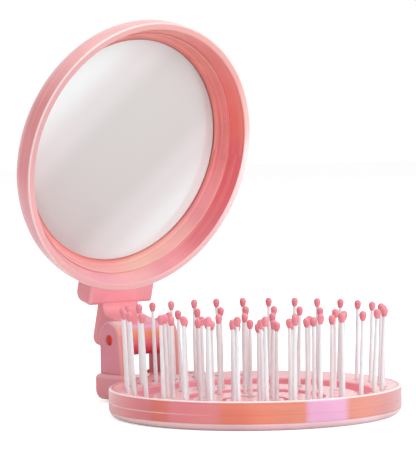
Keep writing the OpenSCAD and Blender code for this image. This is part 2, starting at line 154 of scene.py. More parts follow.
def rounded(corners: Sequence[tuple[float, float, float]], closed: bool, count: int = 6) -> np.ndarray:
    """Rounds the corners of an outline.

    Each corner is replaced by an arc that touches both of its sides. The arc's
    tangent length is its radius times the tangent of half the turning angle.

    Args:
        corners: Two coordinates and a radius for each corner.
        closed: Whether the last corner joins the first. Open ends stay sharp.
        count: Points on each arc.

    Returns:
        The outline's points, n by 2.
    """
    data = np.array(corners, dtype=float)
    out = []
    for k, (x, y, radius) in enumerate(data):
        here = np.array([x, y])
        at_end = not closed and k in (0, len(data) - 1)
        if radius <= 0 or at_end:
            out.append(here[None])
            continue
        before = data[k - 1, :2] - here
        after = data[(k + 1) % len(data), :2] - here
        before /= np.linalg.norm(before)
        after /= np.linalg.norm(after)
        half = math.acos(float(np.clip(before @ after, -1, 1))) / 2
        bisector = (before + after) / np.linalg.norm(before + after)
        centre = here + bisector * radius / math.sin(half)
        first = here + before * radius / math.tan(half) - centre
        last = here + after * radius / math.tan(half) - centre
        turn = math.atan2(first[0] * last[1] - first[1] * last[0], first @ last)
        start = math.atan2(first[1], first[0])
        out.append(arc(tuple(centre), radius, math.degrees(start), math.degrees(start + turn), count))
    return np.concatenate(out)


def refined(outline: np.ndarray, step: float) -> np.ndarray:
    """Adds evenly spaced points to the stretches of an open outline that are longer than step."""
    parts = []
    for a, b in zip(outline[:-1], outline[1:]):
        count = max(1, int(math.ceil(np.linalg.norm(b - a) / step)))
        parts.append(a + (b - a) * np.arange(count)[:, None] / count)
    return np.concatenate(parts + [outline[-1:]])


def revolved(
    profile: np.ndarray,
    segments: int,
    closed: bool = False,
    depth: np.ndarray | None = None,
) -> Patch:
    """Turns a profile round the Z axis.

    A point (r, z) at angle a goes to (r cos a, r sin a, z). The profile runs
    counter-clockwise seen with r to the right and z up, so faces point outwards.
    """
    angles = np.linspace(0, 2 * math.pi, segments, endpoint=False)
    r, z = profile[:, :1], profile[:, 1:2]
    grid = np.stack([r * np.cos(angles), r * np.sin(angles), z + 0 * angles], axis=-1)
    return grid_patch(grid, np.zeros(len(profile)) if depth is None else depth, closed)


def drum(radius: float, low: float, high: float, segments: int) -> Patch:
    """Returns a plain cylinder about the Z axis, for use as a cutter."""
    return revolved(np.array([(0.0, low), (radius, low), (radius, high), (0.0, high)]), segments)


def inset(outline: np.ndarray, distance: float) -> np.ndarray:
    """Moves a counter-clockwise closed outline inwards by a distance, along its mitred normals."""
    edge_in = outline - np.roll(outline, 1, axis=0)
    edge_out = np.roll(outline, -1, axis=0) - outline
    n1 = np.stack([-edge_in[:, 1], edge_in[:, 0]], axis=1)
    n2 = np.stack([-edge_out[:, 1], edge_out[:, 0]], axis=1)
    n1 /= np.linalg.norm(n1, axis=1, keepdims=True)
    n2 /= np.linalg.norm(n2, axis=1, keepdims=True)
    return outline + distance * (n1 + n2) / (1 + np.sum(n1 * n2, axis=1, keepdims=True))


def extruded(
    outline: np.ndarray, low_x: float, high_x: float, edge: float, steps: int = 6, caps_u: tuple[float, float] = (0, 0)
) -> Patch:
    """Draws a counter-clockwise [y, z] outline out along X, with rounded rims at both ends.

    At an angle a round a rim, the outline is drawn in by edge times (1 - sin a)
    and lies edge times (1 - cos a) from the end. Each flat end has one u of its own.
    """
    angles = np.linspace(0, math.pi / 2, steps)
    draw_in = edge * (1 - np.sin(angles))
    back = edge * (1 - np.cos(angles))
    xs = np.concatenate([low_x + back, (high_x - back)[::-1]])
    insets = np.concatenate([draw_in, draw_in[::-1]])
    rings = np.stack([inset(outline, d) for d in insets])
    grid = np.concatenate([np.broadcast_to(xs[:, None, None], rings.shape[:2] + (1,)), rings], axis=2)
    # The rounded rims are marked paler: a painted highlight along the edges.
    painted_highlight = -0.5 * np.sin(2 * angles)
    side = grid_patch(grid, np.concatenate([painted_highlight, painted_highlight[::-1]]))
    n = len(outline)
    start = (len(xs) - 1) * n
    caps = [list(range(n))[::-1], list(range(start, start + n))]
    cap_uvs = np.concatenate([rings[0][::-1], rings[-1]]) * 0.1
    cap_uvs[:, 0] = np.repeat(caps_u, n)
    return Patch(side.points, side.faces + caps, np.concatenate([side.uvs, cap_uvs]), side.depth)


def moved_to(x: float = 0, y: float = 0, z: float = 0, turn_x: float = 0) -> np.ndarray:
    """Returns a 4 by 4 matrix that turns about X by degrees and then moves by millimetres."""
    matrix = np.array(Matrix.Rotation(math.radians(turn_x), 4, "X"))
    matrix[:3, 3] = (x, y, z)
    return matrix


def turned_along_x(y: float, z: float) -> np.ndarray:
    """Returns a 4 by 4 matrix that lays the Z axis along X, through a point of the YZ plane."""
    matrix = np.array(Matrix.Rotation(math.radians(90), 4, "Y"))
    matrix[:3, 3] = (0, y, z)
    return matrix


def piece_from(name: str, patch: Patch, sharp_deg: float = 38) -> Object:
    """Makes a mesh object from a patch, with its poles and seams closed and its faces smooth."""
    mesh = bpy.data.meshes.new(name)
    mesh.from_pydata((patch.points * MM).tolist(), [], patch.faces)
    mesh.uv_layers.new(name="flow").data.foreach_set("uv", patch.uvs.astype(np.float32).ravel())
    crevice = mesh.attributes.new("crevice", "FLOAT", "POINT")
    crevice.data.foreach_set("value", patch.depth.astype(np.float32))
    work = bmesh.new()
    work.from_mesh(mesh)
    bmesh.ops.remove_doubles(work, verts=work.verts, dist=1e-7)
    bmesh.ops.dissolve_degenerate(work, dist=1e-8, edges=work.edges)
    work.to_mesh(mesh)
    work.free()
    smooth(mesh, sharp_deg)
    piece = bpy.data.objects.new(name, mesh)
    bpy.context.scene.collection.objects.link(piece)
    return piece


def smooth(mesh: Mesh, sharp_deg: float) -> None:
    """Shades a mesh smooth, and sharp where two faces meet at more than an angle."""
    mesh.polygons.foreach_set("use_smooth", [True] * len(mesh.polygons))
    mesh.set_sharp_from_angle(angle=math.radians(sharp_deg))


def cut(piece: Object, cutter: Patch, sharp_deg: float = 38) -> None:
    """Cuts a closed patch out of a piece."""
    tool = piece_from("cutter", cutter)
    step = piece.modifiers.new("cut", "BOOLEAN")
    step.operation, step.solver, step.object = "DIFFERENCE", "EXACT", tool
    shape = bpy.data.meshes.new_from_object(piece.evaluated_get(bpy.context.evaluated_depsgraph_get()))
    piece.modifiers.clear()
    piece.data = shape
    shape.name = piece.name
    bpy.data.objects.remove(tool)
    smooth(shape, sharp_deg)


# ---------- materials ----------


def srgb(code: str) -> Colour:
    """Turns a hex colour as seen on screen into linear light."""
    values = [int(code[i : i + 2], 16) / 255 for i in (0, 2, 4)]
    return tuple(v / 12.92 if v <= 0.04045 else ((v + 0.055) / 1.055) ** 2.4 for v in values)


@dataclass
class Graph:
    """A small helper that adds and links shader nodes in one tree."""

    tree: NodeTree

    def add(self, kind: str, feeds: dict[str | int, object] | None = None, **settings: object) -> Node:
        """Adds a node; settings name its properties, and feeds what goes into its inputs."""
        node = self.tree.nodes.new("ShaderNode" + kind)
        for key, value in settings.items():
            setattr(node, key, value)
        for key, value in (feeds or {}).items():
            self.feed(value, node.inputs[key])
        return node

    def link(self, source: NodeSocket, target: NodeSocket) -> None:
        """Links one socket to another."""
        self.tree.links.new(source, target)

    def math(self, operation: str, a: object, b: object = 0.0, clamp: bool = False) -> NodeSocket:
        """Adds a Math node whose inputs are sockets or numbers and returns its output."""
        return self.add("Math", {0: a, 1: b}, operation=operation, use_clamp=clamp).outputs[0]

    def mix(self, factor: object, a: object, b: object, blend: str = "MIX") -> NodeSocket:
        """Adds a colour Mix node and returns its output."""
        return self.add("Mix", {0: factor, 6: a, 7: b}, data_type="RGBA", blend_type=blend).outputs[2]

    def feed(self, value: object, socket: NodeSocket) -> None:
        """Links a socket, or sets a number or colour on it."""
        if isinstance(value, NodeSocket):
            self.link(value, socket)
        elif isinstance(value, tuple):
            socket.default_value = (*value, 1.0)[: len(socket.default_value)]
        else:
            socket.default_value = value

    def noise(self, vector: object, scale: float, detail: float = 2, rough: float = 0.5) -> NodeSocket:
        """Adds a Noise texture and returns its value."""
        feeds = {"Vector": vector, "Scale": scale, "Detail": detail, "Roughness": rough}
        return self.add("TexNoise", feeds).outputs[0]

    def ramp(self, value: object, stops: Sequence[tuple[float, Colour]]) -> NodeSocket:
        """Adds a colour ramp through the given stops and returns its colour."""
        node = self.add("ValToRGB", {0: value})
        node.color_ramp.interpolation = "EASE"
        elements = node.color_ramp.elements
        elements[0].position, elements[0].color = stops[0][0], (*stops[0][1], 1)
        elements[1].position, elements[1].color = stops[-1][0], (*stops[-1][1], 1)
        for position, colour in stops[1:-1]:
            elements.new(position).color = (*colour, 1)
        return node.outputs[0]


def new_group(name: str, inputs: dict[str, str], outputs: dict[str, str]) -> tuple:
    """Starts a shader node group with named sockets.

    Args:
        name: The group's name.
        inputs: Each input's name and kind: Color, Float or Vector.
        outputs: The same for each output.

    Returns:
        The group, its Graph, the sockets that bring its inputs and those that take its outputs.
    """
    group = bpy.data.node_groups.new(name, "ShaderNodeTree")
    for side, sockets in (("INPUT", inputs), ("OUTPUT", outputs)):
        for label, kind in sockets.items():
            group.interface.new_socket(name=label, in_out=side, socket_type="NodeSocket" + kind)
    return group, Graph(group), group.nodes.new("NodeGroupInput").outputs, group.nodes.new("NodeGroupOutput").inputs


class Groups:
    """Shader node groups that several materials share."""

    def __init__(self) -> None:
        """Builds each group once."""
        self.pearl = self.make_pearl()
        self.handling = self.make_handling()

    def make_pearl(self) -> NodeTree:
        """Pearl pigment: its own tone, with fine streaks drawn out round the moulding.

        The streaks are a stretched noise over the piece's flow map. A slow noise in space makes the tone cloudy. Marks
        below 0 paint highlights: edges go paler, and lines marked below -1 go whiter. Marks above 0 take the deep
        tone, which on some pieces is painted shade.
        """
        group, g, start, end = new_group(
            "pearl_pigment",
            dict(Tone="Color", Deep="Color", Streak="Color", Pale="Color", Amount="Float", Flow="Vector",
                 Place="Vector", Depth="Float"),
            dict(Color="Color", Height="Float"),
        )
        depth = start["Depth"]
        stretch = g.add("Mapping", {"Scale": (5.0, 0.75, 1.0), "Vector": start["Flow"]})
        streaks = g.noise(stretch.outputs[0], 1.0, 3, 0.55)
        mask = g.ramp(streaks, [(0.48, (0, 0, 0)), (0.70, (1, 1, 1))])
        clouds = g.noise(start["Place"], 55)
        # Deep tone: the grooves' pigment on the brush face, and painted shade on the mirror's recess walls and at the
        # bezel's foot.
        colour = g.mix(g.math("MAXIMUM", depth, 0.0), start["Tone"], start["Deep"])
        shade = g.ramp(clouds, [(0.3, (0.86, 0.84, 0.86)), (0.7, (1, 1, 1))])
        colour = g.mix(1.0, colour, shade, "MULTIPLY")
        colour = g.mix(g.math("MULTIPLY", mask, start["Amount"]), colour, start["Streak"])
        # Painted highlight: marked edges go towards the pale tone.
        colour = g.mix(g.math("MULTIPLY", depth, -0.9, True), colour, start["Pale"])
        # Painted highlight line: marks below -1 go further towards white.
        glint = g.math("SUBTRACT", g.math("MULTIPLY", depth, -1.0), 1.0, True)
        g.link(g.mix(glint, colour, (1.0, 0.93, 0.9)), end["Color"])
        g.link(g.noise(start["Place"], 9000, 1), end["Height"])
        return group

    def make_handling(self) -> NodeTree:
        """Faint marks of handling: smudges and hairline scratches in the gloss."""
        group, g, start, end = new_group(
            "handling_marks",
            dict(Place="Vector", Gloss="Float", Smudge="Float"),
            dict(Roughness="Float", Height="Float"),
        )
        smudges = g.noise(start["Place"], 130, 4, 0.6)
        scratched = {"Scale": (2600, 90, 400), "Rotation": (0.3, 0.2, 0.7), "Vector": start["Place"]}
        lines = g.noise(g.add("Mapping", scratched).outputs[0], 1.0, 2, 0.6)
        scratch = g.math("GREATER_THAN", lines, 0.72)
        amount = g.math("ADD", g.math("SUBTRACT", smudges, 0.5), g.math("MULTIPLY", scratch, 0.4))
        rough = g.math("ADD", start["Gloss"], g.math("MULTIPLY", amount, start["Smudge"]), True)
        g.link(rough, end["Roughness"])
        g.link(lines, end["Height"])
        return group


@dataclass(frozen=True)
class Finish:
    """What every finish has: a name, its gloss and a shader with constant sockets."""

    name: str
    roughness: float = 0.25
    smudge: float = 0.06
    sockets: tuple[tuple[str, object], ...] = ()
    grain: ClassVar[float] = 0.04 * MM

    def start(self) -> tuple[Material, Graph, Node]:
        """Makes the material with its Principled shader and returns them with a Graph."""
        material = bpy.data.materials.new(self.name)
        material.use_nodes = True
        shader = material.node_tree.nodes["Principled BSDF"]
        for key, value in self.sockets:
            shader.inputs[key].default_value = value
        return material, Graph(material.node_tree), shader

    def add_handling(self, g: Graph, shader: Node, groups: Groups) -> Node:
        """Feeds the shader's roughness from the handling marks and returns the group node."""
        place = g.add("TexCoord").outputs["Object"]
        feeds = {"Place": place, "Gloss": self.roughness, "Smudge": self.smudge}
        marks = g.add("Group", feeds, node_tree=groups.handling)
        g.link(marks.outputs["Roughness"], shader.inputs["Roughness"])
        return marks

    def add_bump(self, g: Graph, shader: Node, height: NodeSocket, strength: float) -> None:
        """Feeds the shader's normal with a fine grain."""
        bump = g.add("Bump", {"Strength": strength, "Distance": self.grain, "Height": height})
        g.link(bump.outputs[0], shader.inputs["Normal"])


Tones = tuple[tuple[float, str], ...]


@dataclass(frozen=True)
class PearlPlastic(Finish):
    """Pearlescent pink moulding, whose tone drifts round the piece.

    Attributes:
        tones: Degrees round the flow map and the tone there; on some pieces a few stops are painted highlights or
            painted shade. deep: The same for grooves and inner walls; on the mirror half it is painted shade.
        deep: The same for grooves and inner walls.
        streak: The lighter pigment that the melt has drawn out.
        pale: The same for the painted highlights on edges.
        amount: How strong the streaks are.
        plain: The tone where the drift and the streaks have faded out.
        fade: Millimetres along the profile where they are gone and where they are full.
    """

    tones: Tones = ((0, "F59BA4"), (360, "F59BA4"))
    deep: Tones = ((0, "F07888"), (360, "F07888"))
    streak: str = "F8C4BC"
    pale: Tones = ((0, "F2C0BE"), (360, "F2C0BE"))
    amount: float = 0.25
    plain: str = "F09CA2"
    fade: tuple[float, float] = (-2.0, -1.0)

    def build(self, groups: Groups) -> Material:
        """Makes the material."""
        material, g, shader = self.start()
        place = g.add("TexCoord").outputs
        flow = g.add("SeparateXYZ", {0: place["UV"]}).outputs
        low, high = self.fade
        drift = g.add("MapRange", {"Value": flow["Y"], "From Min": low, "From Max": high}).outputs[0]
        tone, deep, pale = (
            g.ramp(flow["X"], [(degrees / 360, srgb(code)) for degrees, code in tones])
            for tones in (self.tones, self.deep, self.pale)
        )
        feeds = {
            "Tone": g.mix(drift, srgb(self.plain), tone), "Deep": deep, "Streak": srgb(self.streak), "Pale": pale,
            "Amount": g.math("MULTIPLY", drift, self.amount), "Flow": place["UV"], "Place": place["Object"],
            "Depth": g.add("Attribute", attribute_name="crevice").outputs["Fac"],
        }
        pearl = g.add("Group", feeds, node_tree=groups.pearl)
        g.link(pearl.outputs["Color"], shader.inputs["Base Color"])
        self.add_handling(g, shader, groups)
        self.add_bump(g, shader, pearl.outputs["Height"], 0.05)
        return material


@dataclass(frozen=True)
class PlainPlastic(Finish):
    """A single-pigment plastic, with a faint cloudiness in its colour."""

    light: str = "F0ECEE"
    dark: str = "E2D4D8"
    cloud_scale: float = 240

    def build(self, groups: Groups) -> Material:
        """Makes the material."""
        material, g, shader = self.start()
        marks = self.add_handling(g, shader, groups)
        clouds = g.noise(g.add("TexCoord").outputs["Object"], self.cloud_scale, 3, 0.55)
        colour = g.ramp(clouds, [(0.35, srgb(self.dark)), (0.65, srgb(self.light))])
        g.link(colour, shader.inputs["Base Color"])
        self.add_bump(g, shader, marks.outputs["Height"], 0.04)
        return material


@dataclass(frozen=True)
class SilveredGlass(Finish):
    """Silvered glass with a painted reflection in its colour: grey, a little brighter towards two opposite sides.

    Attributes:
        across: The direction over which the tone changes, in the row frame.
        middle: Where the darkest band lies along it, in metres.
        spread: How fast the tone brightens from there, for each metre.
    """

    across: tuple[float, float, float] = (0.7071, 0.183, -0.683)
    middle: float = -0.039
    spread: float = 30.0

    def build(self, groups: Groups) -> Material:
        """Makes the material."""
        material, g, shader = self.start()
        self.add_handling(g, shader, groups)
        place = g.add("TexCoord").outputs["Object"]
        along = g.add("VectorMath", {0: place, 1: self.across}, operation="DOT_PRODUCT")
        far = g.math("ABSOLUTE", g.math("SUBTRACT", along.outputs["Value"], self.middle))
        # A painted reflection: this grey gradient stands for what the mirror would reflect.
        stops = [(0.30, srgb("CCCBCA")), (0.55, srgb("D8D7D8")), (0.92, srgb("E9F3F3"))]
        g.link(g.ramp(g.math("MULTIPLY", far, self.spread), stops), shader.inputs["Base Color"])
        return material


def dress(piece: Object, material: Material) -> None:
    """Gives a piece one material on all of its slots."""
    if piece.data.materials:
        for index in range(len(piece.data.materials)):
            piece.material_slots[index].link = "OBJECT"
            piece.material_slots[index].material = material
    else:
        piece.data.materials.append(material)


def enter(piece: Object, material: Material, body: Body, node: str) -> Object:
    """Dresses a new piece and enters it in the frame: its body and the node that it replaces."""
    dress(piece, material)
    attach(piece, body.value)
    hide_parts(node)
    return piece


class Finishes:
    """Every material of the object, made once."""

    def __init__(self) -> None:
        """Builds the materials from their finishes."""
        groups = Groups()
        gloss = (
            ("Coat Weight", 0.2),
            ("Coat Roughness", 0.08),
            ("Specular IOR Level", 0.3),
            ("Subsurface Weight", 0.1),
            ("Subsurface Scale", 0.0015),
            ("Subsurface Radius", (1.0, 0.3, 0.3)),
        )

        def pearl(name: str, **tones: object) -> Material:
            """Makes one pearl plastic, whose painted edge highlights may be of a single tone."""
            if isinstance(tones["pale"], str):
                tones["pale"] = ((0, tones["pale"]), (360, tones["pale"]))
            return PearlPlastic(name, 0.26, 0.05, gloss, **tones).build(groups)

        self.base = pearl(
            "pearl_base",
            # The side wall's tones hold a painted reflection of a lamp, lilac-tinted, from 250° to 264°, and painted
            # shade, the darker stops from 300° to 330°; the rest is the pearl's drift of tone.
            tones=((0, "E8A4A6"), (40, "EE9A88"), (75, "F0B8D8"), (100, "EFA296"), (150, "F0A2A4"),
                   (184.5, "E88288"), (188, "E4786C"), (193, "E4786C"), (196.5, "EA868E"), (213.5, "EC8C8C"),
                   (218, "EE846C"), (247, "E89076"), (250, "EEB4D8"), (264, "ECB2D4"), (267.5, "E29482"),
                   (300, "D69494"), (312, "C88A8C"), (330, "CC8E90"), (360, "E8A4A6")),
            # The pale tone FBE6E4 is the painted highlight on the rim, the ring tops and the parting line; the deep
            # tone is the grooves' pigment.
            deep=((0, "FFB4C0"), (360, "FFB4C0")), streak="F6B4B0", pale="FBE6E4", amount=0.12, fade=(9.6, 7.8),
        )
        self.cover = pearl(
            "pearl_cover",
            # These pale tones are the cover's pigment lightened by a painted reflection of the white floor.
            tones=((0, "F0C4C6"), (150, "F4CCCC"), (190, "F8D4D2"), (230, "F8CCD2"), (262, "F4D2D8"), (300, "ECCCCC"),
                   (360, "F0C4C6")),
            streak="F6DCD4", pale="F6DAD6", amount=0.2, plain="F2CCCC", fade=(14.0, 30.0),
        )
        self.lid = pearl(
            "pearl_lid",
            tones=((0, "EE9CA0"), (60, "EEA09A"), (110, "F2B4B4"), (140, "F2ACAE"), (158, "EE9698"), (186, "EE969C"),
                   (204, "F2A8B2"), (232, "F2B2B2"), (310, "F0A0A8"), (360, "EE9CA0")),
            # The deep ramp paints shade and light round the recess wall: darkest near 0°, where it faces away from the
            # lamps, and lighter at the top and bottom; the pearl's drift lies in it too.
            deep=((0, "EE727A"), (14, "F67E74"), (52, "FC9490"), (84, "FCA8A0"), (180, "F2A0A0"),
                  (240, "F8B4B6"), (258, "F6A6B4"), (280, "FCBABA"), (298, "F8A4AE"), (318, "EE868E"), (344, "EA7078"),
                  (360, "EE727A")),
            # The pale ramp paints the lip's highlights, near white at 0° and 338°.
            pale=((0, "FAEEEE"), (15, "F2CCC6"), (40, "E8ACA6"), (170, "DAA6A8"), (205, "EEB4B4"), (318, "ECC2C2"),
                  (338, "FADADA"), (360, "FAEEEE")),
            streak="FAC0AC", amount=0.3, fade=(16.0, 31.0),
        )
        self.bezel = pearl(
            "pearl_bezel",
            tones=((0, "FA9092"), (18, "FA8A88"), (34, "FC908E"), (52, "FFA094"), (84, "FCA6A0"), (180, "F0A0A0"),
                   (245, "F4ACAE"), (272, "FFB8B2"), (284, "FCC6B8"), (312, "FFBEB8"), (330, "FAA2A8"),
                   (360, "FA9092")),
            # The deep ramp is a painted shade line at the bezel's foot on the glass, standing for the gap's shadow and
            # the wall's reflection in the glass's edge.
            deep=((0, "A84848"), (90, "B86058"), (180, "D8705C"), (250, "E0604C"), (300, "C86058"), (360, "A84848")),
            streak="FAD0B4", pale="F4BEB8", amount=0.35,
        )
        self.block = pearl(
            "pearl_block",
            tones=((0, "F098A2"), (90, "F6A0AA"), (360, "F6A0AA")),
            streak="F8B4AC", pale="F6C8C6", amount=0.2,
        )
        self.arm = pearl(
            "pearl_arm",
            # Round the arm's end, F4B4DC is a painted highlight on its top, and the tones deepen through orange to red
            # underneath, a painted shade.
            tones=((0, "EE949E"), (176, "F39CA6"), (198, "F4B4DC"), (213, "F0A090"), (232, "F08C64"),
                   (256, "F07A88"), (290, "EC5C68"), (335, "DC4C5C"), (360, "D84858")),
            streak="F8B4AC", pale="F4B8B4", amount=0.15,
        )
        self.yoke = pearl(
            "pearl_yoke",
            # On the ears, F4CCC8 is a painted highlight on the round tops, and the red end of the ramp, which the
            # inner faces take, is painted shade.
            tones=((0, "EC92A2"), (150, "EC92A2"), (205, "F4CCC8"), (300, "F0A294"), (340, "EE9A94"),
                   (348, "E6707A"), (356, "E25A6A"), (360, "E25A6A")),
            streak="F0A4B0", pale="F4B8BC", amount=0.15,
        )
        self.hinge_pin = PlainPlastic("red_pin", 0.4, 0.05, light="F04828", dark="E03C1C").build(groups)
        self.nylon = PlainPlastic(
            "clear_nylon", 0.3, 0.03,
            (("Transmission Weight", 0.1), ("IOR", 1.3), ("Subsurface Weight", 0.4), ("Subsurface Scale", 0.0012),
             ("Subsurface Radius", (1.0, 1.0, 1.0))),
            light="F6F6F8", dark="F0F1F4",
        ).build(groups)
        self.ball = PlainPlastic(
            "rose_tips", 0.24, 0.04, (("Subsurface Weight", 0.1), ("Subsurface Scale", 0.001)),
            light="EB929D", dark="E1818D",
        ).build(groups)
        self.mirror = SilveredGlass("silvered_glass", 0.16, 0.02, (("Metallic", 0.18),)).build(groups)
        self.pad = PlainPlastic("foam_pad", 0.8, 0.1, light="EDE9E0", dark="D9D4C8", cloud_scale=1500).build(groups)


# ---------- the object ----------


@dataclass(frozen=True)
class Hinge:
    """The hinge axis and the angle at which the mirror half stands."""

    y: float = 51.2
    z: float = 17.8
    lid_turn: float = 105.0
    rise: float = 10.05

    def lid_place(self) -> np.ndarray:
        """Returns the move from the mirror half's own frame to the row frame.

        The half is drawn lying face up, with its lip in the plane z = 0 and its
        centre at the origin. It goes to the hinge, turns there and moves up.
        """
        return moved_to(0, self.y, self.z, self.lid_turn) @ moved_to(0, self.y, -self.rise)


@dataclass(frozen=True)
class PinRow:
    """One row of pins and the face where it stands."""

    name: str
    radius: float
    count: int
    first_deg: float
    under_z: float
    face_z: float
    reach: float
    splay_deg: float

    def angles(self) -> np.ndarray:
        """Returns each pin's angle round the disc, in radians."""
        return np.radians(self.first_deg + 360 / self.count * np.arange(self.count))


@dataclass
class BrushHalf:
    """The round brush half: shell, foot and bottom cover."""

    radius: float = 40.0
    height: float = 7.75
    seam_z: float = 1.9
    wall: float = 1.6
    edge: float = 2.4
    parting_z: float = 4.2
    highlight_side: float = 160.0
    foot_half: float = 12.52
    foot_low: float = 0.7
    foot_high: float = 8.1
    foot_back: float = 56.6
    foot_fall: float = 1.8
    foot_edge: float = 1.3
    foot_root: float = 0.7
    tab_half: float = 10.9
    lip_t: float = 0.9
    segments: int = 360
    hinge: Hinge = Hinge()

    def face_corners(self) -> list[tuple[float, float, float]]:
        """Returns the corners of the dished face, from the rim to the centre."""
        return [
            (39.1, 7.75, 0.3), (32.1, 6.2, 0.35), (32.1, 3.9, 0.4),
            (28.2, 3.9, 0.4), (28.2, 5.2, 0.45), (19.3, 4.65, 0.3), (19.3, 3.3, 0.3),
            (17.3, 3.3, 0.3), (17.3, 4.1, 0.4), (9.2, 3.85, 0.25), (9.2, 3.2, 0.15),
            (8.1, 3.2, 0.15), (8.1, 3.75, 0.25), (0, 3.75, 0),
        ]

    def seam_r(self) -> float:
        """Returns the outer radius at the seam, on the quarter round of the bottom edge."""
        return self.radius - self.edge + math.sqrt(self.edge**2 - (self.edge - self.seam_z) ** 2)

    def shell_patch(self) -> Patch:
        """Returns the shell: side wall, rim, dished face and the room below the face."""
        line_z, line_depth = self.parting_z, 0.06
        top = rounded(
            [(self.radius - self.wall, self.seam_z, 0), (self.seam_r(), self.seam_z, 0.15),
             (self.radius, self.edge + 0.1, 0.3), (self.radius, line_z - 0.2, 0), (self.radius, line_z - 0.08, 0),
             (self.radius - line_depth, line_z, 0), (self.radius, line_z + 0.08, 0), (self.radius, line_z + 0.2, 0),
             (self.radius, self.height, 0.6)] + self.face_corners(),
            closed=False,
        )
        under = np.array([(0, 2.6), (17.3, 2.6), (17.3, 2.95), (38.4, 2.95)])
        profile = np.concatenate([refined(top, 0.9), refined(under, 3)])
        radius, height = profile[:, 0], profile[:, 1]
        step = np.abs(np.gradient(profile, axis=0))
        flat = step[:, 0] / np.maximum(step.sum(axis=1), 1e-9)
        band = np.interp(radius, [0, 9.2, 17.3, 28.2, 32.1, 33], [3.75, 3.9, 4.1, 5.2, 6.2, 8])
        groove = np.clip((band - height) / 0.9, 0, 1) * (radius < 32.4)
        # Groove walls and floors take the deep tone; flat ring tops go pale, a painted highlight.
        face = np.where(flat > 0.6, 0.5 * groove - 0.45 * (1 - groove), 0.9) * (radius < self.radius - 1)
        # A painted highlight along the top of the rim.
        rim = (radius > self.radius - 0.7) & (height > self.height - 0.3)
        line = (radius > self.radius - 0.1) & (np.abs(height - line_z) < 0.1)
        # A painted highlight on the parting line, on one side of the disc only.
        around = np.linspace(0, 2 * math.pi, self.segments, endpoint=False)
        painted_highlight = np.clip(np.cos(around - math.radians(self.highlight_side)) * 2 - 1.1, 0, 0.6)
        return revolved(profile, self.segments, closed=True, depth=(face - rim)[:, None] - line[:, None] * painted_highlight)

    def foot_outline(self) -> np.ndarray:
        """Returns the foot's side view, counter-clockwise, as [y, z]."""
        return rounded(
            [(30, self.foot_low, 0), (self.foot_back, self.foot_low, 2.8),
             (self.foot_back, self.foot_high, 1.5), (30, self.foot_high, 0)],
            closed=True, count=10,
        )

    def floor_outline(self, front: float) -> np.ndarray:
        """Returns what is cut between the ears: it leaves a floor that falls from front to back."""
        high, back = self.foot_high + 1.5, self.foot_back + 1
        low = self.foot_high - self.foot_fall
        return np.array([(front, self.foot_high - 0.02), (back, low), (back, high), (front, high)])

    def build(self, finishes: Finishes, rows: Sequence[PinRow]) -> list[Object]:
        """Builds and dresses the brush half's shell pieces."""
        shell = piece_from("brush_shell", self.shell_patch())
        cut(shell, joined([self.dimple(row, angle) for row in rows for angle in row.angles()]), 30)
        foot = piece_from("hinge_foot", extruded(self.foot_outline(), -self.foot_half, self.foot_half, self.foot_edge))
        cut(foot, drum(self.radius - self.foot_root, -1, 9, CUTTER_SEGMENTS))
        yoke, gap = HingeYoke(self.hinge), 0.12
        for low_x, high_x in yoke.ear_spans(gap):
            cut(foot, extruded(yoke.ear_outline(gap), low_x, high_x, 0.05, 2))
        floor = self.floor_outline(yoke.front_y())
        cut(foot, extruded(floor, -yoke.inner_x, yoke.inner_x, 0.01, 2))
        cover = piece_from("base_cover", self.cover_patch())
        return [
            enter(shell, finishes.base, Body.BASE, "base_shell"),
            enter(foot, finishes.block, Body.BASE, "base_shell"),
            enter(cover, finishes.cover, Body.BASE, "bottom_cover"),
        ]

    def dimple(self, row: PinRow, angle: float) -> Patch:
        """Returns the cutter of one pin's hole, which opens into a small dimple."""
        hole_r, dimple_r, below, above = 0.72, 1.05, row.under_z - 3, row.face_z + 2.0
        profile = np.array(
            [(0, below), (hole_r, below), (hole_r, row.face_z - 0.3), (dimple_r, row.face_z + 0.08),
             (dimple_r, above), (0, above)]
        )
        place = moved_to(row.radius * math.cos(angle), row.radius * math.sin(angle))
        return revolved(profile, 20).moved(place)

    def cover_patch(self) -> Patch:
        """Returns the bottom cover: a shallow dish with a locating lip, and the foot's tab."""
        bottom = self.radius - self.edge
        curve = arc((bottom, self.edge), self.edge, -90, -math.degrees(math.asin(0.5 / self.edge)), 14)
        lip_r, lip_z, floor_z = self.radius - 1.75, 3.1, 1.0
        edge = np.concatenate([curve, [(self.seam_r() - 0.12, self.seam_z), (lip_r, self.seam_z), (lip_r, lip_z)]])
        inside = np.array([(lip_r - self.lip_t, lip_z), (lip_r - self.lip_t, floor_z), (0, floor_z)])
        profile = np.concatenate([[(0, 0)], edge, inside])
        dish = revolved(refined(profile, 4), self.segments)
        low, back = self.foot_low - 0.02, self.foot_back - self.wall
        tab = rounded([(36, low, 0), (back, low, 0.3), (back, self.seam_z, 0.2), (36, self.seam_z, 0)], closed=True)
        return joined([dish, extruded(tab, -self.tab_half, self.tab_half, 0.15, 3)])


